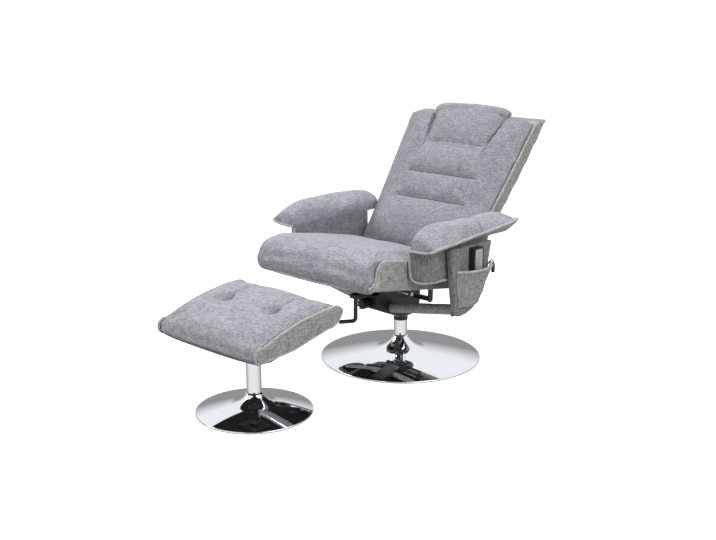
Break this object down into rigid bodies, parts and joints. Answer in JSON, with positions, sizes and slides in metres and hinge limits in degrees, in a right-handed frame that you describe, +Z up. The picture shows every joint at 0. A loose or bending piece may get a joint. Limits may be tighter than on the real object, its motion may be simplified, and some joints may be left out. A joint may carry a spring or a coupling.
{
  "type": "recliner with footstool",
  "caption": "Upholstered swivel recliner with overhanging arm pads, channelled back, tilt mechanism, trumpet chrome base and a matching footstool, with a massage handset in a side pocket.",
  "frame": {"origin": "on the floor under the axis of the chair's column", "axes": "+Z up, the chair faces -Y towards its footstool, +X is the sitter's left"},
  "size_m": [0.8144, 1.4372, 0.9168],
  "materials": {
    "chrome": "polished",
    "seat_fabric": "woven",
    "side_fabric": "woven",
    "lining_cloth": "matte",
    "board_wood": "raw plywood",
    "black_steel": "satin black",
    "zinc_steel": "zinc plated",
    "black_plastic": "matte",
    "lead_rubber": "matte",
    "face_plastic": "gloss",
    "key_plastic": "matte",
    "washer_plastic": "matte"
  },
  "bodies": {
    "chair_base": {"chair_base_disc": "chrome", "chair_floor_ring": "black_plastic", "chair_column_gasket": "lead_rubber", "chair_column_tube": "chrome", "chair_base_bolt": "zinc_steel", "column_collar": "black_plastic", "thrust_washer": "washer_plastic"},
    "carriage": {"swivel_spindle": "zinc_steel", "mechanism_housing": "black_steel", "tilt_pin": "zinc_steel", "tension_buffer": "lead_rubber", "tension_nut": "zinc_steel", "clamp_arm": "black_steel", "guide_crossbar": "black_steel", "guide_plates": "black_steel", "support_tubes": "black_steel", "tube_sleeves": "side_fabric", "arm_straps": "black_steel", "strap_covers": "side_fabric", "arm_panels": "side_fabric", "left_arm_pad": "seat_fabric", "right_arm_pad": "seat_fabric", "arm_bolts": "zinc_steel", "side_pocket": "side_fabric", "handset_case": "black_plastic", "handset_face": "face_plastic", "handset_lead": "lead_rubber", "lead_plug": "black_plastic"},
    "tension_control": {"tension_knob": "black_plastic", "tension_screw": "zinc_steel"},
    "recline_handle": {"recline_handle_rod": "zinc_steel", "recline_handle_sleeve": "black_plastic"},
    "seat": {"seat_cushion": "seat_fabric", "seat_sides": "side_fabric", "seat_board": "board_wood", "seat_lining": "lining_cloth", "seat_motors": "black_plastic", "control_box": "black_plastic", "seat_rails": "black_steel"},
    "back": {"back_cushion": "seat_fabric", "head_pillow": "seat_fabric", "back_casing": "side_fabric", "back_board": "board_wood", "back_motors": "black_plastic", "back_bars": "black_steel"},
    "key_1": {"handset_key_1": "key_plastic"},
    "key_2": {"handset_key_2": "key_plastic"},
    "key_3": {"handset_key_3": "key_plastic"},
    "key_4": {"handset_key_4": "key_plastic"},
    "footstool": {"stool_base_disc": "chrome", "stool_floor_ring": "black_plastic", "stool_column_gasket": "lead_rubber", "stool_column_tube": "chrome", "stool_base_bolt": "zinc_steel", "stool_cushion": "seat_fabric", "stool_sides": "side_fabric", "stool_board": "board_wood", "stool_lining": "lining_cloth", "stool_screws": "zinc_steel", "stool_top_plate": "black_steel"}
  },
  "joints": [
    {"name": "swivel", "type": "hinge", "parent": "chair_base", "child": "carriage", "pos_m": [0, 0, 0.16], "axis": [0, 0, 1], "continuous": true},
    {"name": "seat_tilt", "type": "hinge", "parent": "carriage", "child": "seat", "pos_m": [0, -0.1, 0.29], "axis": [1, 0, 0], "range_deg": [-3, 9]},
    {"name": "back_recline", "type": "hinge", "parent": "seat", "child": "back", "pos_m": [0, 0.02638, 0.40784], "axis": [1, 0, 0], "range_deg": [-4.5, 13.5]},
    {"name": "tension_turn", "type": "hinge", "parent": "carriage", "child": "tension_control", "pos_m": [0, -0.2, 0.251], "axis": [0, 1, 0], "continuous": true},
    {"name": "handle_swing", "type": "hinge", "parent": "carriage", "child": "recline_handle", "pos_m": [0, -0.25, 0.289], "axis": [0, 0, 1], "range_deg": [-40, 60]},
    {"name": "key_1_press", "type": "slide", "parent": "carriage", "child": "key_1", "axis": [-1, 0, 0], "range_m": [0, 0.001], "stiffness_N_per_m": 400},
    {"name": "key_2_press", "type": "slide", "parent": "carriage", "child": "key_2", "axis": [-1, 0, 0], "range_m": [0, 0.001], "stiffness_N_per_m": 400},
    {"name": "key_3_press", "type": "slide", "parent": "carriage", "child": "key_3", "axis": [-1, 0, 0], "range_m": [0, 0.001], "stiffness_N_per_m": 400},
    {"name": "key_4_press", "type": "slide", "parent": "carriage", "child": "key_4", "axis": [-1, 0, 0], "range_m": [0, 0.001], "stiffness_N_per_m": 400},
    {"name": "footstool_place", "type": "slide", "parent": "chair_base", "child": "footstool", "axis": [0, -1, 0], "range_m": [0, 0.4]}
  ],
  "couplings": [
    {"joint": "back_recline", "follows": "seat_tilt", "ratio": 1.5}
  ]
}
